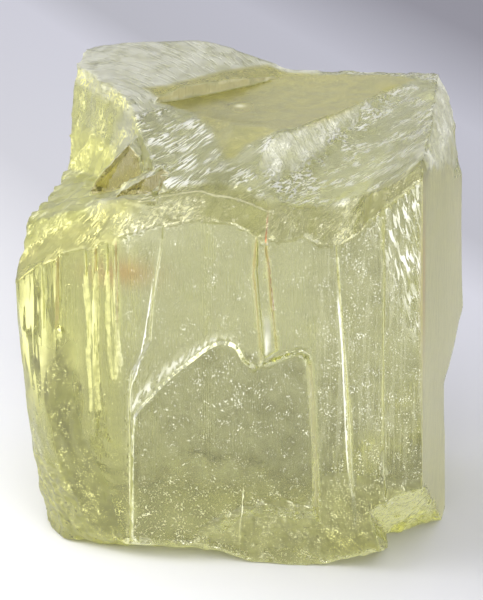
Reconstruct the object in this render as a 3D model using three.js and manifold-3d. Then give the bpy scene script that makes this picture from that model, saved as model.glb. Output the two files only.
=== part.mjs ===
// Raw spodumene: one cleavage block of clear yellow-green crystal, broken across its top
// and its foot. All lengths are millimetres, +Z is up along the crystal's long axis, -Y is
// the outward side of the large front cleavage face, and +X is to its right.
// The block starts as the crystal's cleavage prism with thin cleavage sheets clinging to
// its faces. The surfaces along which pieces broke off then cut it to shape.
import * as THREE from 'three';
import { mergeVertices } from 'three/addons/utils/BufferGeometryUtils.js';
import { ImprovedNoise } from 'three/addons/math/ImprovedNoise.js';
import Module from 'manifold-3d';

const wasm = await Module();
wasm.setup();

// Cleavage prism: its walls, and how far the foot is wider than the top
const FRONT_Y = -19.4;
const BACK_Y = 19.4;
const LEFT_X = -21;
const RIGHT_X = 22.6;
const TOP_Z = 52;
const FOOT_SPREAD = 0.9;
const RIGHT_BACK_SPREAD = 0.2;

// Heights of the broken top
const DISH_Z = 46.3;
const RAMP_Z = 49.8;
const SHOULDER_Z = 37;
const BOWL_Z = 41.2;
const SCOOP_Z = 39.6;
const NOSE_Z = 42.3;
const SHELF_Z = 39.9;

// Height at which the front face ends, from left to right: x, z
const FRONT_TOP = [
  [-22, 30.5], [-18.5, 33.9], [-11.8, 36.3], [-6.4, 38.3], [-1, 39.9], [3.5, 39.2], [5.7, 37.5],
  [7.8, 37.2], [10, 38.2], [12.5, 36.8], [15.5, 38.5], [19, 42.5], [23.5, 46.5],
];

// Thickness of the thin sheets on the faces, and of the arched one
const SHEET = 0.35;
const ARCH_SHEET = 0.75;
const BURIED = 1.2;

// Reach of the closed solids that stand for the air beyond a surface
const AIR = 60;
const SPAN = 64;

const noise = new ImprovedNoise();

// Smooth unevenness between about -1 and 1, with waves of the given length.
function waves(x, y, length, layer) {
  return noise.noise(x / length + layer * 7.1, y / length - layer * 3.7, layer * 1.73);
}

// Height on a line of [x, z] points.
function along(points, x) {
  const next = points.findIndex((point) => point[0] > x);
  if (next <= 0) {
    return next === 0 ? points[0][1] : points[points.length - 1][1];
  }
  const [x0, z0] = points[next - 1];
  const [x1, z1] = points[next];
  return z0 + (z1 - z0) * (x - x0) / (x1 - x0);
}

function toSolid(geometry) {
  const bare = geometry.index ? geometry.toNonIndexed() : geometry.clone();
  bare.deleteAttribute('normal');
  bare.deleteAttribute('uv');
  const merged = mergeVertices(bare, 1e-5);
  return new wasm.Manifold(new wasm.Mesh({
    numProp: 3,
    vertProperties: new Float32Array(merged.attributes.position.array),
    triVerts: new Uint32Array(merged.index.array),
  }));
}

function toGeometry(solid) {
  const mesh = solid.getMesh();
  const geometry = new THREE.BufferGeometry();
  geometry.setAttribute('position', new THREE.BufferAttribute(mesh.vertProperties, 3));
  geometry.setIndex(new THREE.BufferAttribute(mesh.triVerts, 1));
  return geometry;
}

// The air beyond a surface, as a box whose near side is that surface. `out` points into
// the air and `up` settles the turn; `height(u, v)` raises the surface towards the air.
function airBeyond({ at = [0, 0, 0], out, up = [0, 0, 1], cells = 26, height }) {
  const box = new THREE.BoxGeometry(SPAN, SPAN, 1, cells, cells, 1);
  const point = box.attributes.position;
  for (let i = 0; i < point.count; i += 1) {
    const near = point.getZ(i) < 0;
    point.setZ(i, near ? height(point.getX(i), point.getY(i)) : AIR);
  }
  const w = new THREE.Vector3(...out).normalize();
  const u = new THREE.Vector3(...up).cross(w).normalize();
  const v = new THREE.Vector3().crossVectors(w, u);
  box.applyMatrix4(new THREE.Matrix4().makeBasis(u, v, w).setPosition(...at));
  return toSolid(box);
}

// Air above a surface z = height(x, y).
function airAbove(cells, height) {
  return airBeyond({ out: [0, 0, 1], up: [0, 1, 0], cells, height });
}

// The cleavage prism: four walls, a little wider at the foot and at the back. It can be
// grown beyond one of its faces, to trim the sheets on that face to the face's width.
function cleavagePrism({ front = 0, back = 0, left = 0 } = {}) {
  const box = new THREE.BoxGeometry(1, 1, 1);
  const point = box.attributes.position;
  for (let i = 0; i < point.count; i += 1) {
    const isRight = point.getX(i) > 0;
    const isBack = point.getY(i) > 0;
    const isTop = point.getZ(i) > 0;
    const footSpread = isTop ? 0 : FOOT_SPREAD;
    const rightX = RIGHT_X + footSpread + (isBack ? RIGHT_BACK_SPREAD : 0);
    const y = isBack ? BACK_Y + back : FRONT_Y - front;
    point.setXYZ(i, isRight ? rightX : LEFT_X - left, y, isTop ? TOP_Z : -1);
  }
  return toSolid(box);
}

// A thin cleavage sheet with a bevelled edge, drawn as seen from outside the face.
// `turn` is the face's turn about Z: 0 front, 90 right, 180 back, -90 left.
function sheet({ outline, thick = SHEET, bevel = thick, turn = 0, face, smooth = 0 }) {
  const points = outline.map(([x, z]) => new THREE.Vector2(x, z));
  const shape = new THREE.Shape();
  if (smooth > 0) {
    shape.moveTo(points[0].x, points[0].y);
    shape.splineThru(points.slice(1));
  } else {
    shape.setFromPoints(points);
  }
  const slab = new THREE.ExtrudeGeometry(shape, {
    depth: BURIED, bevelThickness: thick, bevelSize: bevel, bevelOffset: -bevel,
    bevelSegments: 1, curveSegments: Math.max(smooth, 1),
  });
  slab.rotateX(Math.PI / 2);
  slab.translate(0, BURIED - Math.abs(face), 0);
  slab.rotateZ(THREE.MathUtils.degToRad(turn));
  return toSolid(slab);
}

// The sheets on the front face: a thin one in the middle, a thick arched one on it that
// runs down to the foot, a sliver along the stained crack, and one along the right.
function frontSheets() {
  const middle = sheet({
    face: FRONT_Y,
    outline: [
      [-9.1, -2], [4, -2], [5.8, 24.4], [4.9, 33.7], [5.8, 44], [-4.6, 44], [-5.3, 37], [-6.4, 30.3],
      [-6.7, 25.7], [-7.6, 24], [-8.8, 21.6], [-9.1, 18.7],
    ],
  });
  const arch = sheet({
    face: FRONT_Y, thick: ARCH_SHEET, bevel: 0.6, smooth: 4,
    outline: [
      [-9.2, -2], [-9.1, 5], [-8.9, 15.3], [-8.3, 17.6], [-6.5, 19.8], [-4.3, 22.2], [-2.1, 24.1],
      [-0.4, 25.5], [1.4, 26.3], [3.2, 25.8], [4.2, 24.2], [5.6, 23.8], [8.3, 25.1], [9.9, 25.4],
      [11, 24.6], [11.3, 22.3], [11.8, 15.5], [12, 8], [12, -2],
    ],
  });
  const sliver = sheet({
    face: FRONT_Y, thick: 0.5, bevel: 0.3,
    outline: [[5.7, 43], [6.4, 35.2], [6.9, 30], [7.5, 25.2], [5.9, 24.1], [5.4, 29.8], [5, 34]],
  });
  const right = sheet({
    face: FRONT_Y,
    outline: [[13, 44], [13.9, 31.4], [14.7, 22.5], [15.4, 10.5], [16.6, -2], [26, -2], [26, 50]],
  });
  const rightStep = sheet({
    face: FRONT_Y, thick: 0.65, bevel: 0.25,
    outline: [[18.4, 46], [18.6, 30], [18.9, 12], [20.5, -2], [26, -2], [26, 50]],
  });
  return [middle, arch, sliver, right, rightStep];
}

// The narrow splinters standing on the left of the front face.
function leftSplinters() {
  const first = sheet({
    face: FRONT_Y, thick: 0.55, bevel: 0.4,
    outline: [[-18.6, 40], [-18.4, 30], [-18.8, 16], [-17.6, 9], [-16.4, 17], [-16.7, 24], [-16.2, 40]],
  });
  const second = sheet({
    face: FRONT_Y, thick: 0.45, bevel: 0.35,
    outline: [[-13.8, 40], [-13.4, 24], [-13.2, 12], [-12.3, 13], [-12.4, 24], [-12.2, 40]],
  });
  const third = sheet({
    face: FRONT_Y, thick: 0.4, bevel: 0.3,
    outline: [[-11.2, 40], [-11.4, 26], [-10.6, 20], [-10, 26], [-10.1, 40]],
  });
  return [first, second, third];
}

// Upright cleavage steps on a hidden face, each a band of full height: from, to, thickness.
function uprightSteps(bands, face, turn) {
  return bands.map(([from, to, thick]) => sheet({
    face, turn, thick, bevel: thick * 0.8,
    outline: [[from, -2], [to, -2], [to + 0.4, 24], [to - 0.2, 52], [from - 0.5, 52], [from, 26]],
  }));
}

function leftSteps() {
  const bands = [[-24, -9, 0.9], [-24, -3.5, 0.6], [-1, 3, 0.6], [5.5, 8, 0.35], [11, 24, 0.5]];
  return uprightSteps(bands, LEFT_X, -90);
}

function backSteps() {
  const bands = [[-26, -16, 0.6], [-12, -8, 0.35], [4.5, 11, 0.3], [13, 26, 0.6]];
  return uprightSteps(bands, BACK_Y, 180);
}

// The smooth, slightly hollow top on the right.
function dishAir() {
  return airAbove(26, (x, y) => {
    const depth = 0.5;
    const hollow = 0.004 * ((x - 3) ** 2 + (y - 6) ** 2);
    return DISH_Z - depth + Math.min(hollow, 0.8) + 0.3 * waves(x, y, 9, 1);
  });
}

// The striated ramp that stands above the dish at the back left.
function rampAir() {
  return airAbove(26, (x, y) => {
    const fall = 0.13 * (BACK_Y - y);
    const arch = (x < -13 ? 0.022 : 0.0145) * (x + 13) ** 2;
    return RAMP_Z - fall - arch + 0.25 * waves(x, y, 5, 2);
  });
}

function rampBlock(prism) {
  const outline = new THREE.Shape();
  outline.moveTo(-30, -12);
  outline.lineTo(-11, -4);
  outline.lineTo(-9.8, 2);
  outline.lineTo(-3.2, 10.5);
  outline.lineTo(2.2, 17.5);
  outline.lineTo(4, 24);
  outline.lineTo(-30, 24);
  const slab = new THREE.ExtrudeGeometry(outline, { depth: 10, bevelEnabled: false });
  slab.translate(0, 0, 43);
  return toSolid(slab).intersect(prism).subtract(rampAir());
}

// The shell-shaped hollow between the dish and the right crest, open to the front. It
// runs up and back from its mouth, and its left wall is the steeper one.
function scoopAir() {
  const mouthDistance = 12;
  return airBeyond({
    at: [11.1, -8.4, 0], out: [0, 0, 1], up: [0.256, 0.967, 0], cells: 50,
    height: (across, v) => {
      const inward = v + mouthDistance;
      const leftWall = Math.min(0.025 + 0.014 * Math.max(inward, 0), 0.2);
      const steep = across < 0 ? leftWall : 0.032;
      const ripple = 0.07 * Math.sin(Math.hypot(across + 7.5, inward - 1) * 1.5);
      const rough = 0.4 * waves(across, inward, 6, 3);
      return SCOOP_Z + 0.19 * inward + steep * across ** 2 + ripple + rough;
    },
  });
}

// The silvery bowl left of the nose of the dish.
function bowlAir() {
  const lowest = { x: -8, y: -17 };
  return airAbove(36, (x, y) => {
    const rise = 0.3 * (y - lowest.y);
    const side = (x > lowest.x ? 0.03 : 0.05) * (x - lowest.x) ** 2;
    return BOWL_Z + rise + side + 0.25 * waves(x, y, 4.5, 4);
  });
}

// The slope in front of the nose of the dish, between bowl and scoop: gentle at first,
// then steeper.
function noseAir() {
  return airAbove(32, (x, y) => {
    const crest = 0.45 * Math.max(x - 4, 0);
    const steep = NOSE_Z + 0.52 * (y + 16.5);
    const gentle = NOSE_Z + 2.9 + 0.2 * (y + 12);
    return Math.min(gentle, steep) + crest + 0.25 * waves(x, y, 5, 17);
  });
}

// The shoulder at the left front: a ledge, with a steep splintery wall behind it.
function shoulderAir() {
  const ledge = airAbove(36, (x, y) => {
    const rise = 0.3 * Math.max(x - LEFT_X, 0);
    return SHOULDER_Z - 0.4 + rise + 0.6 * waves(x, y, 4, 5);
  });
  const wall = airBeyond({
    at: [-13.8, 0.7, 47], out: [-0.84, -0.54, 0.285], cells: 44,
    height: (u, v) => 0.5 * waves(u, v * 0.3, 2.4, 6) + 0.6 * waves(u, v, 8, 7),
  });
  return ledge.intersect(wall);
}

// The bevel from the top of the front face back to the ridge of the ledge.
function lipAir() {
  return airAbove(44, (x, y) => {
    const back = y - FRONT_Y;
    const steep = x < -12 ? 0.75 : 1.05;
    return along(FRONT_TOP, x) + steep * back + 0.3 * waves(x, y, 3, 8);
  });
}

// Two splinters standing on the ledge, each with an upright right side.
function teeth() {
  const blade = (outline, y, thick) => {
    const shape = new THREE.Shape(outline.map(([x, z]) => new THREE.Vector2(x, z)));
    const slab = new THREE.ExtrudeGeometry(shape, { depth: thick, bevelEnabled: false });
    slab.rotateX(Math.PI / 2);
    slab.translate(0, y + thick, 0);
    return toSolid(slab);
  };
  const tall = blade([[-15.6, 36], [-15.2, 39.4], [-10.9, 44.2], [-9.9, 43], [-8.6, 36]], -9, 5);
  const low = blade([[-12.4, 37], [-11.4, 39.8], [-6.4, 43], [-5.6, 42.6], [-5.4, 37]], -13.5, 4);
  return [tall, low];
}

// The shelf in front of the low splinter, cut back to its upright front.
function shelfAir() {
  const shelf = airAbove(30, (x, y) => {
    const rise = 0.12 * (x + 11);
    const end = 4 * Math.max(x + 5.6, 0);
    return SHELF_Z + rise + end + 0.3 * waves(x, y, 3, 20);
  });
  const riser = airBeyond({
    at: [-9, -13.6, 41], out: [-0.1, -0.98, 0.1], cells: 20,
    height: (u, v) => 0.2 * waves(u, v, 3, 21),
  });
  return shelf.intersect(riser);
}

// The knocked-off, slightly bulging edge between the top and the right face.
function rightCrestAir() {
  return airBeyond({
    at: [22.4, 0, 40.6], out: [0.95, 0.06, 0.32], cells: 34,
    height: (u, v) => 0.35 * waves(u, v, 3.2, 10) + Math.max(0.8 - 0.02 * (v - 3) ** 2, 0),
  });
}

// The rounded front left corner, wider towards the foot.
function leftCornerAir() {
  return airBeyond({
    at: [-19.6, -17.4, 13], out: [-0.72, -0.66, -0.17], cells: 34,
    height: (u, v) => {
      const bulge = 0.4 - 0.005 * Math.min((v - 3) ** 2, 200);
      return bulge - 0.035 * Math.min(u * u, 100) + 0.3 * waves(u, v, 4, 11);
    },
  });
}

// The broken back right part below the right face.
function rearNotchAir() {
  const under = airBeyond({
    at: [23.4, 10, 17.2], out: [0.75, 0.1, -0.6],
    height: (u, v) => 0.4 * waves(u, v, 5, 12),
  });
  const behind = airBeyond({
    at: [23, 0.5, 8], out: [0.35, 0.92, 0.1],
    height: (u, v) => 0.4 * waves(u, v, 5, 13),
  });
  return under.intersect(behind);
}

// Chips along the lower front edge.
function footChips() {
  const rightUnder = airBeyond({
    at: [20, -19.4, 8.4], out: [0.42, -0.45, -0.74], cells: 40,
    height: (u, v) => 0.3 * waves(u, v, 3.5, 14),
  });
  const rightSide = airBeyond({
    at: [18.6, -19.4, 4], out: [0.93, 0.15, 0.3], cells: 30,
    height: (u, v) => 0.3 * waves(u, v, 3, 19),
  });
  const rightLump = airBeyond({
    at: [14.5, -19.4, 1.5], out: [0.24, -0.3, -0.92], cells: 40,
    height: (u, v) => 0.35 * waves(u, v, 3, 22),
  });
  const middleChip = airBeyond({
    at: [8.5, -19, 3.5], out: [0.02, -0.97, -0.22], cells: 44,
    height: (u, v) => 0.022 * (u * u * 0.5 + v * v) + 0.35 * waves(u, v, 3, 15) - 0.2,
  });
  const leftChip = airBeyond({
    at: [-4, -18, 1.3], out: [0.02, -0.42, -0.9],
    height: (u, v) => 0.25 * waves(u, v, 4, 16) + 0.35 * Math.max(u - 4, 0),
  });
  return [rightUnder.intersect(rightSide), rightLump, middleChip, leftChip];
}

// Shell-shaped chips on the back and along its edges.
function backChips() {
  const bowl = (at, out, round, layer) => airBeyond({
    at, out, cells: 36,
    height: (u, v) => round * (u * u + v * v) + 0.3 * waves(u, v, 4, layer),
  });
  return [
    bowl([-15, 19.8, 45.5], [-0.05, 0.86, 0.5], 0.03, 23),
    bowl([21.3, 18.4, 27], [0.66, 0.74, 0.1], 0.012, 24),
    bowl([-20.8, 18.2, 9], [-0.66, 0.7, -0.28], 0.01, 25),
    bowl([-4, 19.2, 3.4], [0.05, 0.93, -0.37], 0.016, 26),
    bowl([-21.2, 1, 2.2], [-0.85, 0.05, -0.52], 0.014, 27),
  ];
}

// The foot: flat where it rests, broken a little higher elsewhere.
function footAir() {
  return airBeyond({
    out: [0, 0, -1], up: [0, 1, 0], cells: 30,
    height: (u, v) => Math.min(0, 0.9 * waves(u, v, 9, 18) - 0.1),
  });
}

// The whole crystal before anything broke off, its sheets trimmed to their faces.
function wholeCrystal() {
  const room = 2;
  let whole = cleavagePrism();
  for (const [sheets, trim] of [
    [[...frontSheets(), ...leftSplinters()], cleavagePrism({ front: room })],
    [leftSteps(), cleavagePrism({ left: room })],
    [backSteps(), cleavagePrism({ back: room })],
  ]) {
    for (const one of sheets) {
      whole = whole.add(one.intersect(trim));
    }
  }
  return whole;
}

const whole = wholeCrystal();
let crystal = whole;
crystal = crystal.subtract(dishAir()).add(rampBlock(whole));
crystal = crystal.subtract(noseAir());
crystal = crystal.subtract(scoopAir());
crystal = crystal.subtract(bowlAir());
crystal = crystal.subtract(shoulderAir());
for (const tooth of teeth()) {
  crystal = crystal.add(tooth);
}
crystal = crystal.subtract(shelfAir());
crystal = crystal.subtract(lipAir());
crystal = crystal.subtract(rightCrestAir());
crystal = crystal.subtract(leftCornerAir());
crystal = crystal.subtract(rearNotchAir());
for (const chip of [...footChips(), ...backChips()]) {
  crystal = crystal.subtract(chip);
}
crystal = crystal.subtract(footAir());

// The origin is the middle of the foot of the crystal's box.
const geometry = toGeometry(crystal);
geometry.computeBoundingBox();
const middle = geometry.boundingBox.getCenter(new THREE.Vector3());
geometry.translate(-middle.x, -middle.y, -geometry.boundingBox.min.z);
const material = new THREE.MeshStandardMaterial({ color: 0xb9b87c, roughness: 0.15, metalness: 0 });
const body = new THREE.Mesh(geometry, material);
body.name = 'spodumene_crystal';

const model = new THREE.Group();
model.add(body);
export default model;
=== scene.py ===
import math

import bmesh
import bpy
import numpy as np
from mathutils import Euler, Matrix, Vector


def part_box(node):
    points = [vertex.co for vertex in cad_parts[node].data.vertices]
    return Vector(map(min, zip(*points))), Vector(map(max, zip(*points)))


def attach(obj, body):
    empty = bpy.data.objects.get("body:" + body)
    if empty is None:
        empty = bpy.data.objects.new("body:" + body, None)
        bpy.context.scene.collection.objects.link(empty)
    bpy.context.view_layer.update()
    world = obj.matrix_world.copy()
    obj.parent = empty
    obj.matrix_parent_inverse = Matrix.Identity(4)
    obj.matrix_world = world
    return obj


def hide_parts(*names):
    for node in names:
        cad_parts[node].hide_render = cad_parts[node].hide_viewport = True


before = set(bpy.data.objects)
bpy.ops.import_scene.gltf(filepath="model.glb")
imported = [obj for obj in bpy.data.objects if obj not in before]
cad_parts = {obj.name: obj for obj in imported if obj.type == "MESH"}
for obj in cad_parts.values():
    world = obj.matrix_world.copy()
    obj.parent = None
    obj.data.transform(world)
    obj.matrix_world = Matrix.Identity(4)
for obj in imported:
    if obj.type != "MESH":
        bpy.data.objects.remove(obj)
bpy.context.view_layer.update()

# The camera: a long lens a third of a metre away, looking down by 18 degrees and from
# 10 degrees to the right of the large front cleavage face.
camera_azimuth = math.radians(10)
camera_height = math.radians(18)
camera_distance = 0.350
camera_aim = Vector((-0.00084, 0.00008, 0.024))
toward = Vector((
    math.sin(camera_azimuth) * math.cos(camera_height),
    -math.cos(camera_azimuth) * math.cos(camera_height),
    math.sin(camera_height),
))
lens = bpy.data.cameras.new("camera")
lens.sensor_fit = "VERTICAL"
lens.sensor_height = 36
lens.lens = 184.8
lens.shift_y = 2 / 600
lens.clip_start = 0.01
lens.clip_end = 20
camera = bpy.data.objects.new("camera", lens)
camera.location = camera_aim + toward * camera_distance
camera.rotation_euler = toward.to_track_quat("Z", "Y").to_euler()
bpy.context.scene.collection.objects.link(camera)
bpy.context.scene.camera = camera


# The floor: a sheet of smooth matt paper, which runs far behind the crystal. Its colour is painted shade: white at
# the front left and darker grey towards the back right, where the light falls off.

def linear(hex_colour):
    """Red, green, blue and alpha in linear light of an sRGB hex colour."""
    parts = [int(hex_colour[i:i + 2], 16) / 255 for i in (1, 3, 5)]
    return [c / 12.92 if c <= 0.04045 else ((c + 0.055) / 1.055) ** 2.4 for c in parts] + [1]


bpy.ops.object.select_all(action="DESELECT")
bpy.ops.mesh.primitive_plane_add(size=1.6, location=(0, 0.2, -0.00005))
floor = bpy.context.object
floor.name = "floor"
bpy.ops.object.transform_apply(location=True, rotation=True, scale=True)
paper = bpy.data.materials.new("paper with painted falloff")
paper.use_nodes = True
paper_surface = paper.node_tree.nodes["Principled BSDF"]
paper_place = paper.node_tree.nodes.new("ShaderNodeTexCoord")
paper_way = paper.node_tree.nodes.new("ShaderNodeVectorMath")
paper_way.operation = "DOT_PRODUCT"
paper_way.inputs[1].default_value = (0.85, 0.53, 0)
paper_fade = paper.node_tree.nodes.new("ShaderNodeMapRange")
paper_fade.inputs["From Min"].default_value = -0.03
paper_fade.inputs["From Max"].default_value = 0.13
# Painted shade: the paper darkens from white at the front left to grey at the back right, in place of the light
# falling off
paper_painted_falloff = paper.node_tree.nodes.new("ShaderNodeValToRGB")
paper_painted_falloff.color_ramp.elements[0].color = linear("#FAFAF8")
paper_painted_falloff.color_ramp.elements[1].color = linear("#8B8A90")
paper_painted_falloff.color_ramp.elements.new(0.15).color = linear("#E4E4E3")
paper_painted_falloff.color_ramp.elements.new(0.32).color = linear("#C8C8CA")
paper_painted_falloff.color_ramp.elements.new(0.55).color = linear("#C9C9CE")
paper_painted_falloff.color_ramp.elements.new(0.63).color = linear("#B2B2B6")
paper_painted_falloff.color_ramp.elements.new(0.8).color = linear("#B8B8BE")
paper.node_tree.links.new(paper_place.outputs["Object"], paper_way.inputs[0])
paper.node_tree.links.new(paper_way.outputs["Value"], paper_fade.inputs["Value"])
paper.node_tree.links.new(paper_fade.outputs[0], paper_painted_falloff.inputs[0])
paper.node_tree.links.new(paper_painted_falloff.outputs[0], paper_surface.inputs["Base Color"])
paper_surface.inputs["Roughness"].default_value = 0.8
floor.data.materials.append(paper)


# The light: a soft window at the upper left, in a pale room that is dimmer at the right.

world = bpy.data.worlds.new("pale room")
bpy.context.scene.world = world
world.use_nodes = True
room = world.node_tree
room_direction = room.nodes.new("ShaderNodeTexCoord")
room_way = room.nodes.new("ShaderNodeVectorMath")
room_way.operation = "DOT_PRODUCT"
room_way.inputs[1].default_value = Vector((-0.5, 0.1, 0.8)).normalized()
room_fall = room.nodes.new("ShaderNodeMapRange")
room_fall.interpolation_type = "SMOOTHSTEP"
room_fall.inputs["From Min"].default_value = -0.3
room_fall.inputs["From Max"].default_value = 1.0
room_fall.inputs["To Min"].default_value = 0.27
room_fall.inputs["To Max"].default_value = 1.14
room.links.new(room_direction.outputs["Generated"], room_way.inputs[0])
room.links.new(room_way.outputs["Value"], room_fall.inputs["Value"])
room.links.new(room_fall.outputs[0], room.nodes["Background"].inputs["Strength"])
room.nodes["Background"].inputs["Color"].default_value = linear("#F6F6FF")

window_light = bpy.data.lights.new("window", "AREA")
window_light.size = 0.35
window_light.energy = 2.2 * math.pi * window_light.size ** 2
window = bpy.data.objects.new("window", window_light)
window.location = (-0.33, -0.22, 0.30)
window.rotation_euler = (window.location - Vector((0, 0, 0.02))).to_track_quat("Z", "Y").to_euler()
bpy.context.scene.collection.objects.link(window)

card_light = bpy.data.lights.new("reflector card", "AREA")
card_light.size = 0.4
card_light.energy = 3.7 * math.pi * card_light.size ** 2
card = bpy.data.objects.new("reflector card", card_light)
card.location = (0.18, -0.44, 0.40)
card.rotation_euler = (card.location - Vector((0, 0, 0.02))).to_track_quat("Z", "Y").to_euler()
bpy.context.scene.collection.objects.link(card)

low_card_light = bpy.data.lights.new("low reflector card", "AREA")
low_card_light.shape = "RECTANGLE"
low_card_light.size = 0.5
low_card_light.size_y = 0.19
low_card_light.energy = 4 * math.pi * low_card_light.size * low_card_light.size_y
low_card = bpy.data.objects.new("low reflector card", low_card_light)
low_card.location = (0.47, -0.40, 0.10)
low_card.rotation_euler = (low_card.location - Vector((0.01, 0, 0.01))).to_track_quat("Z", "Y").to_euler()
bpy.context.scene.collection.objects.link(low_card)

bpy.context.scene.cycles.max_bounces = 10
bpy.context.scene.cycles.transmission_bounces = 10
bpy.context.scene.cycles.use_denoising = True
bpy.context.scene.view_settings.view_transform = "Standard"


# The crystal: one natural block of clear spodumene, split along its two upright cleavages
# and broken across its top and foot. It has the solid's shape, cut into a fine grid so
# that the splinters and the feather marks of the breaks can be raised on it.

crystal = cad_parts["spodumene_crystal"].copy()
crystal.data = crystal.data.copy()
crystal.name = "crystal"
crystal.parent = None
bpy.context.scene.collection.objects.link(crystal)
bpy.ops.object.select_all(action="DESELECT")
crystal.select_set(True)
bpy.context.view_layer.objects.active = crystal
bpy.ops.object.mode_set(mode="EDIT")
bpy.ops.mesh.select_all(action="SELECT")
bpy.ops.mesh.remove_doubles(threshold=0.000001)
grid_pitch = 0.00056
low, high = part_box("spodumene_crystal")
for axis in (2, 0, 1):
    cuts = int((high[axis] - low[axis]) / grid_pitch)
    for i in range(1, cuts):
        place = [0, 0, 0]
        place[axis] = low[axis] + (i + 0.03) * (high[axis] - low[axis]) / cuts
        direction = [0, 0, 0]
        direction[axis] = 1
        bpy.ops.mesh.select_all(action="SELECT")
        bpy.ops.mesh.bisect(plane_co=place, plane_no=direction)
bpy.ops.mesh.select_all(action="SELECT")
bpy.ops.mesh.quads_convert_to_tris(quad_method="BEAUTY", ngon_method="BEAUTY")
bpy.ops.mesh.remove_doubles(threshold=0.00004)
bpy.ops.mesh.select_all(action="DESELECT")

# Broken surfaces lose the facets of the solid: their points are smoothed, but not those
# on a sharp edge or on a cleavage wall.
mesh = bmesh.from_edit_mesh(crystal.data)
mesh.normal_update()
sharp_edge = math.radians(28)
for vertex in mesh.verts:
    upright = all(abs(face.normal.z) < 0.12 for face in vertex.link_faces)
    sharp = any(edge.calc_face_angle(0) > sharp_edge for edge in vertex.link_edges)
    vertex.select = not upright and not sharp and vertex.co.z > 0.0001
mesh.select_flush_mode()
bmesh.update_edit_mesh(crystal.data)
bpy.ops.mesh.vertices_smooth(factor=0.5, repeat=8, wait_for_input=False)

# The lower left corner at the front is worn round
bpy.ops.mesh.select_all(action="DESELECT")
mesh = bmesh.from_edit_mesh(crystal.data)
for vertex in mesh.verts:
    x, y, z = vertex.co * 1000
    vertex.select = x < -10 - 0.25 * z and y < -10 and 0.4 < z < 26
mesh.select_flush_mode()
bmesh.update_edit_mesh(crystal.data)
bpy.ops.mesh.vertices_smooth(factor=0.5, repeat=60, wait_for_input=False)
bpy.ops.mesh.select_all(action="DESELECT")
mesh = bmesh.from_edit_mesh(crystal.data)
for vertex in mesh.verts:
    x, y, z = vertex.co * 1000
    vertex.select = (x > 12 and y < -6 and 0.4 < z < 10) or (-17 < x < -10.9 and y < -16 and 12 < z < 33)
mesh.select_flush_mode()
bmesh.update_edit_mesh(crystal.data)
bpy.ops.mesh.vertices_smooth(factor=0.5, repeat=12, wait_for_input=False)
bpy.ops.object.mode_set(mode="OBJECT")

# Where each kind of surface lies, from the points' places and normals in millimetres
count = len(crystal.data.vertices)
flat = np.empty(count * 3)
crystal.data.vertices.foreach_get("co", flat)
X, Y, Z = flat.reshape(-1, 3).T * 1000
crystal.data.vertices.foreach_get("normal", flat)
NX, NY, NZ = flat.reshape(-1, 3).T


def fade(value, start, end):
    """0 up to start, 1 from end on, and smooth between them."""
    t = np.clip((value - start) / (end - start), 0, 1)
    return t * t * (3 - 2 * t)


def blot(a, a_middle, a_size, b, b_middle, b_size):
    """1 in the middle of a soft oval spot, 0 outside it."""
    return np.exp(-((a - a_middle) / a_size) ** 2 - ((b - b_middle) / b_size) ** 2)


broken = fade(np.abs(NZ), 0.06, 0.2)
upward = fade(NZ, 0.1, 0.3) * fade(Z, 28, 31)
side = 1 - broken


def off(a, b, line):
    """How far the points are, in millimetres, from a line drawn over two of their axes."""
    least = np.full(count, np.inf)
    for (aa, ab), (ba, bb) in zip(line, line[1:]):
        along = ((a - aa) * (ba - aa) + (b - ab) * (bb - ab)) / ((ba - aa) ** 2 + (bb - ab) ** 2)
        along = np.clip(along, 0, 1)
        least = np.minimum(least, np.hypot(a - aa - along * (ba - aa), b - ab - along * (bb - ab)))
    return least


def within(a, b, outline, soft):
    """1 inside an outline drawn over two of the points' axes, 0 outside, and soft between."""
    inside = np.zeros(count, bool)
    closed = outline + outline[:1]
    for (aa, ab), (ba, bb) in zip(closed, closed[1:]):
        crossed = (ab > b) != (bb > b)
        inside ^= crossed & (a < aa + (b - ab) * (ba - aa) / (bb - ab + 1e-9))
    return fade(np.where(inside, 1, -1) * off(a, b, closed), -soft, soft)


dish = fade(Z, 43, 43.6) * within(X, Y, [
    (-12.8, 3.4), (-10.2, 4.6), (-8.4, 7), (-5.2, 12.3), (-1.0, 18.4), (12.4, 18.4), (17, 17),
    (14.4, 12.9), (12.2, 8.5), (9.9, 2.6), (6.4, -5.1), (3.5, -8.8), (1.6, -10.4), (0.6, -12.4),
    (-0.3, -12.6), (-1.5, -10.7), (-3.0, -5.8), (-4.5, -3.5), (-6.4, -0.7)], 0.5)
ramp = upward * fade(Z - 46.2 - 0.02 * X, -0.4, 0.4) * fade(-1.25 * X + Y - 12.6, -1, 1)
ramp *= 1 - dish
shoulder = upward * fade(-X, 6, 10) * (1 - fade(Z, 41, 42)) * fade(Y, -19, -16)
left_wall = fade(-NX, 0.5, 0.7) * fade(Z, 36, 38) * broken
lip = upward * (1 - fade(Y, -17, -15.5))
crest = fade(NX, 0.5, 0.7) * fade(Z, 37, 39) * broken
scoop = upward * fade(X, -2, 1) * (1 - dish) * (1 - lip)
bowl = upward * (1 - fade(X, -2, 1)) * fade(X, -16, -13) * (1 - dish) * (1 - ramp) * (1 - lip)
chips = broken * (1 - fade(Z, 9, 11)) * fade(Z, 0.05, 0.3)
foot = fade(-NZ, 0.8, 0.95) * (1 - fade(Z, 0.5, 1.5))
front = fade(-NY, 0.9, 0.97) * (1 - fade(Y, -18.6, -18))
left_face = side * fade(-NX, 0.5, 0.8)
right_face = side * fade(NX, 0.5, 0.8)
back_face = side * fade(NY, 0.5, 0.8)


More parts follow.
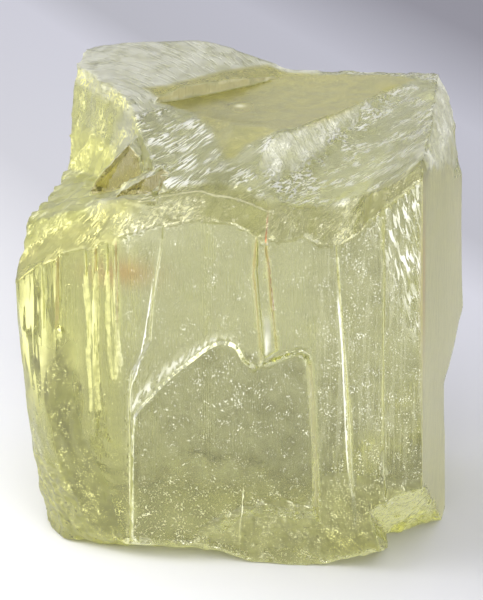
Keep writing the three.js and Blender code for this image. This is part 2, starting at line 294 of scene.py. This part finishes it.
def raise_texture(group, weights, kind, size, stretch, direction, height, **settings):
    """Raise a texture on the crystal's points, drawn out along a direction."""
    points = crystal.vertex_groups.new(name=group)
    for index in np.flatnonzero(weights > 0.01):
        points.add([int(index)], float(weights[index]), "REPLACE")
    texture = bpy.data.textures.new(group, kind)
    for name, value in settings.items():
        setattr(texture, name, value)
    guide = bpy.data.objects.new(group, None)
    bpy.context.scene.collection.objects.link(guide)
    guide.rotation_euler = Vector(direction).to_track_quat("X", "Z").to_euler()
    guide.scale = (size * stretch, size, size)
    bpy.context.view_layer.update()
    raised = crystal.modifiers.new(group, "DISPLACE")
    raised.texture = texture
    raised.texture_coords = "OBJECT"
    raised.texture_coords_object = guide
    raised.vertex_group = group
    raised.strength = height
    raised.mid_level = 0.5
    bpy.ops.object.modifier_apply(modifier=group)
    crystal.vertex_groups.remove(crystal.vertex_groups[group])
    bpy.data.objects.remove(guide)


feather_left = (0.5, 0.6, 0.3)
feather_right = (0.6, 0.65, 0.35)
feather_crest = (-0.25, 0.1, 0.95)
ramp_way = (0.76, -0.65, 0)
ridged = dict(musgrave_type="RIDGED_MULTIFRACTAL", noise_scale=1, octaves=2)
clouds = dict(noise_scale=1, noise_depth=1)
raise_texture("splinters", left_face, "CLOUDS", 0.0009, 12, (0, 0, 1), 0.0005, **clouds)
raise_texture("back_steps", back_face, "CLOUDS", 0.0012, 14, (0, 0, 1), 0.0003, **clouds)
raise_texture("crumbs", np.maximum(shoulder, chips), "VORONOI", 0.0018, 1, (1, 0, 0), 0.0007,
              noise_scale=1)
raise_texture("scoop_feathers", scoop, "MUSGRAVE", 0.0016, 5, feather_right, 0.0002, **ridged)
raise_texture("wall_feathers", np.maximum(left_wall, bowl), "MUSGRAVE", 0.0016, 5, feather_left,
              0.00028, **ridged)
raise_texture("lip_hackles", lip, "MUSGRAVE", 0.0013, 4, (0.3, 0.5, 0.7), 0.00006, **ridged)
raise_texture("crest_hackles", crest, "MUSGRAVE", 0.0011, 5, feather_crest, 0.0002, **ridged)
raise_texture("ramp_lines", ramp, "CLOUDS", 0.0011, 8, ramp_way, 0.0001, noise_scale=1)
bpy.ops.object.shade_smooth_by_angle(angle=math.radians(32))


def keep(name, values, domain="POINT"):
    """Keep one number for each point or face, for the material to read."""
    attribute = crystal.data.attributes.new(name, "FLOAT", domain)
    attribute.data.foreach_set("value", np.asarray(values, np.float32))


faces = len(crystal.data.polygons)
flat_faces = np.empty(faces * 3)
crystal.data.polygons.foreach_get("center", flat_faces)
FX, FY, FZ = flat_faces.reshape(-1, 3).T * 1000
crystal.data.polygons.foreach_get("normal", flat_faces)
FNX, FNY, FNZ = flat_faces.reshape(-1, 3).T
sheet_edge = (FY < -19.34) & (FNY > -0.985) & (FZ < 36) & (FX > -10.8) & (np.abs(FNZ) < 0.95)
sheet_edge |= (FY < -18.8) & (np.abs(FNX) > 0.25) & (FX > -19) & (FX < -10.8) & (FZ > 17) & (FZ < 35)
sheet_edge &= (FZ > 9) | (FX < -7)
edge_light = np.interp(FX, [-10.9, -10, -9, -8, 2, 3, 11, 12, 16],
                       [0.7, 0.9, 0.8, 0.5, 0.4, 0, 0, 0.8, 0.3])
tooth = (FZ > 38.6) & (FY > -13.9) & (FY < -5) & (FX < -5) & (FNY < -0.8)
keep("edge", sheet_edge * edge_light, "FACE")
keep("tooth", tooth * 0.9, "FACE")


arch = [(-9.9, 2), (-9.9, 15), (-9, 18), (-6.4, 21), (-3.1, 23.8), (-0.3, 25.6), (1.1, 25.8),
        (4.8, 24), (7.3, 24.9), (8.9, 25.4), (9.8, 23.2), (10.6, 2)]
under_arch = front * fade(np.interp(X, *zip(*arch[1:-1])) - Z, -0.3, 0.5)
under_arch *= fade(X, -10, -9.4) * (1 - fade(X, 10, 10.8))
arch_band = front * (1 - fade(off(X, Z, arch[2:7]), 0.3, 1.3)) * (1 - under_arch)
wedge = front * fade(X - np.interp(Z, [24, 33], [4.6, 4.4]), 0, 0.3)
wedge *= (1 - fade(X - np.interp(Z, [24, 33], [6.0, 5.7]), -0.3, 0.1)) * (1 - fade(Z, 27, 30))
wedge *= fade(Z, 24, 24.6)

# Hairline cracks in the front face: how far points lie to the right of each one
hairlines = {
    "right_crack": (0.08, [(13.0, 31.2), (13.5, 25.7), (13.8, 20.0), (14.1, 14.3), (14.5, 9.7)]),
    "left_crack": (0.07, [(-7.2, 31.2), (-7.9, 26.7), (-8.8, 22.0), (-10.1, 18.5)]),
    "low_crack": (0.04, [(2.9, 9.0), (2.8, 7.0), (2.4, 4.5), (2.2, 0.8)]),
    "rust": (0.10, [(5.0, 41.3), (5.2, 37.5), (5.7, 33.1), (6.1, 28.6), (6.3, 26.5)]),
}
for name, (width, line) in hairlines.items():
    line_x, line_z = zip(*line[::-1])
    keep(name, X - np.interp(Z, line_z, line_x))
    keep(name + "_reach", fade(-NY, 0.6, 0.8) * (1 - fade(Y, -17.5, -16)) * fade(Z, line_z[0] - 1, line_z[0] + 4)
         * (1 - fade(Z, line_z[-1] - 0.5, line_z[-1] + 1)))

hairlines["ridge"] = (0.07, [])
keep("ridge", Y - np.interp(X, [-9, -2.3, -0.6, 3.7, 5, 11], [-16.9, -17.3, -17.6, -17.3, -17.1, -16.8]))
keep("ridge_reach", 0.6 * upward * fade(X, -9, -3) * (1 - fade(X, 4, 8)))

front_left = fade(-NY, 0.3, 0.5) * (1 - fade(X, -12, -9))
column = fade(-NY, 0.3, 0.5) * (blot(X, -20.3, 1.7, Z, 26, 7) + 0.8 * blot(X, -13.5, 0.4, Z, 27, 6)
                                + 0.6 * blot(X, -11.6, 0.35, Z, 27.5, 4.5) + 0.8 * blot(X, -17.7, 0.4, Z, 29, 4))
hackle_line = np.interp(X, [-20.6, -17.2, -15, -11.7, -7.3, -1.4, 3.5, 8.9],
                        [33.7, 35.5, 36.1, 36.3, 37.4, 38.5, 38.3, 37.1])
hackle_row = blot(Z, hackle_line, 1.3, X, -14, 9) * (1 - fade(Y, -16, -14))
right_chip = fade(X, 15.5, 17.5) * (1 - fade(Z, 5, 8)) * (1 - fade(Y, -8, -3)) * broken
corner = fade(-X - 10 - 0.25 * Z, 0, 2) * (1 - fade(Y, -12, -8)) * (1 - fade(Z, 22, 26))
right_front = front * fade(X, 9, 13)
frost = 0.14 * front + 0.25 * right_face + 0.5 * left_face + 0.45 * back_face + 0.9 * foot
frost += 0.15 * chips * (1 - foot) + 0.25 * scoop + 0.25 * bowl + 0.4 * corner
frost += 0.3 * left_wall + 0.3 * shoulder + 0.25 * lip + 0.3 * crest
frost += front * 0.3 * (1 - fade(Z, 8, 15)) + 0.15 * right_front
low_right = front * fade(X, 10, 13) * (1 - fade(Z, 9, 12))
frost += 0.3 * low_right
keep("frost", np.clip(frost, 0, 1))
keep("feather_left", np.clip(left_wall + bowl + 0.2 * lip + 0.7 * shoulder
                             + hackle_row, 0, 1))
keep("feather_right", np.clip(scoop * (0.6 + 0.4 * fade(NX, 0.0, 0.3)), 0, 1))
keep("feather_crest", np.clip(crest + front * fade(X - 0.35 * (45 - Z), 13, 17) * fade(Z, 24, 30),
                              0, 1))
keep("ramp", ramp)
keep("wall", np.clip(side, 0, 1))
keep("arch_band", arch_band)
keep("column", np.clip(1.5 * column + 0.12 * left_face, 0, 1))
keep("rugged", np.clip(chips + 0.4 * shoulder + 0.2 * corner
                       - 0.6 * right_chip, 0, 1))
keep("shells", np.clip(corner + front * blot(X, -14, 5, Z, 9, 6), 0, 1))
keep("upright", np.clip(0.3 * left_face + 0.15 * back_face + 0.25 * right_front * fade(Z, 9, 14)
                        + 0.25 * right_face, 0, 1))
keep("yellow", np.clip(front_left + 0.3 * low_right + 0.35 * front * (1 - fade(Z, 4, 26)) + 0.3 * right_chip + 0.6 * left_face + 0.4 * left_wall + 0.25 * chips * (1 - right_chip)
                       + 0.6 * shoulder + corner, 0, 1))
grain = 0.55 * right_front * fade(Z, 2, 5) + 0.3 * back_face + 0.3 * left_face + front * 0.5 * blot(X, 1.5, 6, Z, 20.5, 5)
grain += front * (0.4 * (1 - fade(Z, 4, 14)) + 0.1)
grain += 0.3 * low_right
keep("grain", np.clip(grain + 0.8 * chips + 0.4 * lip + 0.1 * dish + 0.5 * corner, 0, 1))
keep("haze", np.clip(0.5 * ramp + 0.12 * scoop + 0.1 * bowl + 0.1 * left_wall + 0.35 * dish
                     + 0.3 * arch_band + wedge + 0.4 * crest + 0.3 * shoulder + 0.12 * low_right + 0.3 * right_face + 0.25 * hackle_row
                     + 0.35 * front * blot(X, -16.2, 1.3, Z, 23.5, 2.8) + 0.9 * dish * blot(X, -1.7, 0.6, Y, 3.7, 0.9), 0, 1))
# Painted shade: the front, more so towards the foot and below the arch, the steep step below the ramp, the lip,
# the left of the dish, the lower left corner, a spot on the top, the bowl and the lower right of the front are
# darkened in colour where the crystal shows shade
step = dish * (1 - fade(NZ, 0.8, 0.95)) * fade(Y, -2, 0) * (1 - fade(X, 1, 3))
keep("painted_shade", np.clip(under_arch * fade(Z, 5, 12) + front * 0.3 * (1 - fade(Z, 6, 14))
                      + front * (0.45 + 0.2 * (1 - fade(Z, 20, 28))) + 0.5 * lip + step
                      + 0.5 * dish * (1 - fade(X, -4, 4)) + 0.5 * corner
                      + 0.6 * blot(X, 0, 2.5, Y, -14.5, 2.5) * upward + 0.25 * bowl + 0.3 * right_front * fade(Z, 9, 12), 0, 1))
keep("blush", front * blot(X, -10.6, 3.6, Z, 33.0, 1.5) + right_face * (0.15 + 0.7 * blot(Y, -18.9, 1.6, Z, 34, 8))
     + 0.8 * front * blot(X, 22.6, 0.5, Z, 34, 8))
bubble = dish * blot(X, -1.7, 0.6, Y, 3.7, 0.9)
keep("warm", np.clip(dish * (1 - 0.5 * step - 0.25 * blot(X, 0, 4, Y, -9, 5)) + 0.4 * lip - bubble, 0, 1))
keep("pale", np.clip(scoop + bowl + ramp + crest + wedge + 0.5 * right_face, 0, 1))

# Clear spodumene: colourless to yellow glassy mineral of index 1.66, more yellow the
# further light runs in it. Cleavage faces are glassy, broken ones are finely feathered,
# and cracks with air in them throw the light back like silver.


def add(kind, inputs, output=0, **settings):
    """Add a shader node, set or link its inputs, and give one of its outputs."""
    node = tree.nodes.new("ShaderNode" + kind)
    for name, value in settings.items():
        setattr(node, name, value)
    for name, value in inputs.items():
        if isinstance(value, bpy.types.NodeSocket):
            tree.links.new(value, node.inputs[name])
        else:
            node.inputs[name].default_value = value
    return node.outputs[output]


stone = bpy.data.materials.new("clear spodumene")
stone.use_nodes = True
tree = stone.node_tree
place = add("TexCoord", {}, "Object")
read = {}
for name in ("edge", "tooth", "frost", "feather_left", "feather_right", "feather_crest",
             "ramp", "wall", "upright", "column", "arch_band", "shells", "rugged", "yellow", "grain", "haze",
             "painted_shade", "blush", "warm", "pale"):
    read[name] = add("Attribute", {}, "Fac", attribute_name=name)

# Crowds of marks, 4 mm wide, with plain places between them
crowd = add("TexNoise", {"Vector": place, "Scale": 350, "Detail": 1})
crowd = add("MapRange", {"Value": crowd, "From Min": 0.42, "From Max": 0.58})

# Feather marks: ridges 0.35 mm wide, drawn out along the way the break ran
mottle = add("TexNoise", {"Vector": place, "Scale": 1600, "Detail": 2})
silver = add("MapRange", {"Value": mottle, "From Min": 0.35, "From Max": 0.6, "To Min": 0.45})
silver = add("Math", {0: silver, 1: read["edge"]}, operation="MULTIPLY")
height = 0
for name, direction, wide, long, least, start in (
    ("feather_left", feather_left, 0.00028, 8, 0.05, 0.50),
    ("feather_right", feather_right, 0.00025, 8, 0.15, 0.50),
    ("feather_crest", feather_crest, 0.00030, 8, 0.5, 0.52),
    ("upright", (0, 0, 1), 0.00030, 24, 0.5, 0.53),
    ("column", (0, 0, 1), 0.00050, 12, 0.7, 0.44),
    ("arch_band", (0.35, 0, 0.94), 0.00028, 5, 0.7, 0.46),
):
    turned = add("Mapping", {
        "Vector": place,
        "Rotation": Vector(direction).to_track_quat("X", "Z").to_euler(),
        "Scale": (wide * long, wide, wide),
    }, vector_type="TEXTURE")
    ridges = add("TexNoise", {"Vector": turned, "Scale": 1, "Detail": 1, "Roughness": 0.6})
    raised = add("Math", {0: ridges, 1: read[name]}, operation="MULTIPLY")
    raised = add("Math", {0: raised, 1: 0.5}, operation="MULTIPLY")
    height = raised if height == 0 else add("Math", {0: height, 1: raised}, operation="ADD")
    bright = add("MapRange", {"Value": ridges, "From Min": start, "From Max": start + 0.04})
    gather = add("MapRange", {"Value": crowd, "To Min": least})
    bright = add("Math", {0: bright, 1: gather}, operation="MULTIPLY")
    bright = add("Math", {0: bright, 1: read[name]}, operation="MULTIPLY")
    silver = add("Math", {0: silver, 1: bright}, operation="MAXIMUM")
    height = add("Math", {0: bright, 1: 0.7, 2: height}, operation="MULTIPLY_ADD")

# Hairline cracks, each wavy and of uneven width, white but for the rusty one
waver = add("MapRange", {"Value": mottle, "From Min": 0.3, "From Max": 0.7, "To Min": -0.05, "To Max": 0.05})
for name, (width, line) in hairlines.items():
    beside = add("Attribute", {}, "Fac", attribute_name=name)
    reach = add("Attribute", {}, "Fac", attribute_name=name + "_reach")
    beside = add("Math", {0: beside, 1: waver}, operation="ADD")
    beside = add("Math", {0: beside}, operation="ABSOLUTE")
    thick = add("MapRange", {"Value": mottle, "From Min": 0.35, "From Max": 0.6, "To Min": width * 1.6,
                             "To Max": width * 0.7})
    hair = add("Math", {0: beside, 1: thick}, operation="LESS_THAN")
    hair = add("Math", {0: hair, 1: reach}, operation="MULTIPLY")
    if name == "rust":
        rust = hair
    silver = add("Math", {0: silver, 1: hair}, operation="MAXIMUM")

# Growth lines on the ramp, 0.4 mm wide
turned = add("Mapping", {
    "Vector": place,
    "Rotation": Vector(ramp_way).to_track_quat("X", "Z").to_euler(),
    "Scale": (0.008, 0.0004, 0.0004),
}, vector_type="TEXTURE")
growth = add("TexNoise", {"Vector": turned, "Scale": 1, "Detail": 1})
growth = add("MapRange", {"Value": growth, "From Min": 0.54, "From Max": 0.6})
growth = add("Math", {0: growth, 1: read["ramp"]}, operation="MULTIPLY")
height = add("Math", {0: height, 1: growth}, operation="SUBTRACT")

# Shell-shaped ripples, 1.6 mm from ring to ring, round the lower left corner
turned = add("Mapping", {"Vector": place, "Location": (-0.0105, 0, 0.0150),
                         "Scale": (0.005, 0.02, 0.005)}, vector_type="TEXTURE")
rings = add("TexWave", {"Vector": turned, "Scale": 1, "Distortion": 2.5, "Detail": 1,
                        "Detail Scale": 2}, 1, wave_type="RINGS", rings_direction="Y")
rings = add("Math", {0: rings, 1: read["shells"]}, operation="MULTIPLY")
height = add("Math", {0: rings, 1: 0.7, 2: height}, operation="MULTIPLY_ADD")

# Striae: fine upright lines, 0.2 mm wide, on the cleavage walls
turned = add("Mapping", {"Vector": place, "Scale": (0.0002, 0.0002, 0.008)}, vector_type="TEXTURE")
striae = add("TexNoise", {"Vector": turned, "Scale": 1, "Detail": 1})
raised = add("Math", {0: striae, 1: read["wall"]}, operation="MULTIPLY")
raised = add("Math", {0: raised, 1: 0.15}, operation="MULTIPLY")
height = add("Math", {0: height, 1: raised}, operation="ADD")

# Grain: silvery pits of 0.1 to 0.2 mm, in crowds
pits = add("TexNoise", {"Vector": place, "Scale": 7000, "Detail": 1, "Roughness": 0.5})
crowd_fine = add("TexNoise", {"Vector": place, "Scale": 700, "Detail": 2, "Roughness": 0.75})
pits = add("Math", {0: crowd_fine, 1: 0.5, 2: pits}, operation="MULTIPLY_ADD")
pits = add("Math", {0: read["grain"], 1: 0.1, 2: pits}, operation="MULTIPLY_ADD")
pits = add("MapRange", {"Value": pits, "From Min": 0.95, "From Max": 1.02})
silver = add("Math", {0: silver, 1: pits}, operation="MAXIMUM")

# Chips: conchoidal facets of about 1 mm
facets = add("TexNoise", {"Vector": place, "Scale": 900, "Detail": 1, "Roughness": 0.7})
facets = add("Math", {0: facets, 1: read["rugged"]}, operation="MULTIPLY")
height = add("Math", {0: facets, 1: 5, 2: height}, operation="MULTIPLY_ADD")

# Ripples of 2 mm on all faces, which stir what is seen through them
ripples = add("TexNoise", {"Vector": place, "Scale": 500, "Detail": 2, "Roughness": 0.65})
height = add("Math", {0: ripples, 1: 0.6, 2: height}, operation="MULTIPLY_ADD")

veil = add("MapRange", {"Value": ripples, "From Min": 0.38, "From Max": 0.58, "To Min": 0.45})
veil = add("Math", {0: veil, 1: read["haze"]}, operation="MULTIPLY")
silver = add("Math", {0: silver, 1: veil}, operation="MAXIMUM")
silver = add("Math", {0: silver, 1: 0.95}, operation="MULTIPLY")

# Colour: a deeper yellow zone at the foot, painted shade that darkens many places towards olive, dark flecks and
# growth lines, iron stains, and silver in the cracks
# Painted shade, varied with the ripples and in patches, together with the dark growth lines and flecks
painted_shade_and_dark_marks = add("MapRange", {"Value": ripples, "From Min": 0.3, "From Max": 0.65, "To Min": 1, "To Max": 0.75})
painted_shade_and_dark_marks = add("Math", {0: painted_shade_and_dark_marks, 1: read["painted_shade"]}, operation="MULTIPLY")
patches = add("MapRange", {"Value": crowd, "To Min": 0.8})
painted_shade_and_dark_marks = add("Math", {0: painted_shade_and_dark_marks, 1: patches}, operation="MULTIPLY")
painted_shade_and_dark_marks = add("Math", {0: painted_shade_and_dark_marks, 1: add("Math", {0: growth, 1: 0.4}, operation="MULTIPLY")}, operation="MAXIMUM")
flecks = add("MapRange", {"Value": mottle, "From Min": 0.36, "From Max": 0.3})
flecks = add("Math", {0: flecks, 1: read["grain"]}, operation="MULTIPLY")
painted_shade_and_dark_marks = add("Math", {0: painted_shade_and_dark_marks, 1: flecks}, operation="MAXIMUM")
colour = add("Mix", {0: read["yellow"], 6: (0.96, 0.96, 0.62, 1), 7: (0.94, 0.94, 0.28, 1)}, 2, data_type="RGBA")
colour = add("Mix", {0: read["pale"], 6: colour, 7: (0.99, 0.99, 0.9, 1)}, 2, data_type="RGBA")
colour = add("Mix", {0: read["warm"], 6: colour, 7: (1, 0.93, 0.34, 1)}, 2, data_type="RGBA")
# Painted shade and the dark marks turn the colour towards a dark olive
colour = add("Mix", {0: painted_shade_and_dark_marks, 6: colour, 7: (0.28, 0.27, 0.11, 1)}, 2, data_type="RGBA")
colour = add("Mix", {0: read["blush"], 6: colour, 7: linear("#E8AC60")}, 2, data_type="RGBA")
colour = add("Mix", {0: read["tooth"], 6: colour, 7: linear("#B39C60")}, 2, data_type="RGBA")
shine = add("Mix", {0: read["yellow"], 6: (1, 1, 0.85, 1), 7: (1, 0.98, 0.45, 1)}, 2, data_type="RGBA")
shine = add("Mix", {0: read["warm"], 6: shine, 7: (0.64, 0.56, 0.17, 1)}, 2, data_type="RGBA")
colour = add("Mix", {0: silver, 6: colour, 7: shine}, 2, data_type="RGBA")
dotted = add("MapRange", {"Value": mottle, "From Min": 0.38, "From Max": 0.5})
dotted = add("Math", {0: dotted, 1: rust}, operation="MULTIPLY")
colour = add("Mix", {0: dotted, 6: colour, 7: linear("#A05A1C")}, 2, data_type="RGBA")

bumps = add("Bump", {"Height": height, "Distance": 0.0001, "Strength": 1.0})
rough = add("Math", {0: read["frost"], 1: 0.5, 2: 0.04}, operation="MULTIPLY_ADD")
rough = add("Math", {0: silver, 1: 0.12, 2: rough}, operation="MULTIPLY_ADD")
rough = add("Math", {0: read["haze"], 1: 0.55, 2: rough}, operation="MULTIPLY_ADD")
rough = add("Math", {0: rough, 1: 0.8}, operation="MINIMUM")
absorbing = add("VolumeAbsorption", {"Color": (0.72, 0.735, 0.14, 1), "Density": 15})
surface = tree.nodes["Principled BSDF"]
surface.inputs["Transmission Weight"].default_value = 1
surface.inputs["IOR"].default_value = 1.66
tree.links.new(colour, surface.inputs["Base Color"])
tree.links.new(silver, surface.inputs["Metallic"])
tree.links.new(rough, surface.inputs["Roughness"])
tree.links.new(bumps, surface.inputs["Normal"])
tree.links.new(absorbing, tree.nodes["Material Output"].inputs["Volume"])
crystal.data.materials.clear()
crystal.data.materials.append(stone)

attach(crystal, "root")
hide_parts("spodumene_crystal")
print("crystal triangles", len(crystal.data.polygons))
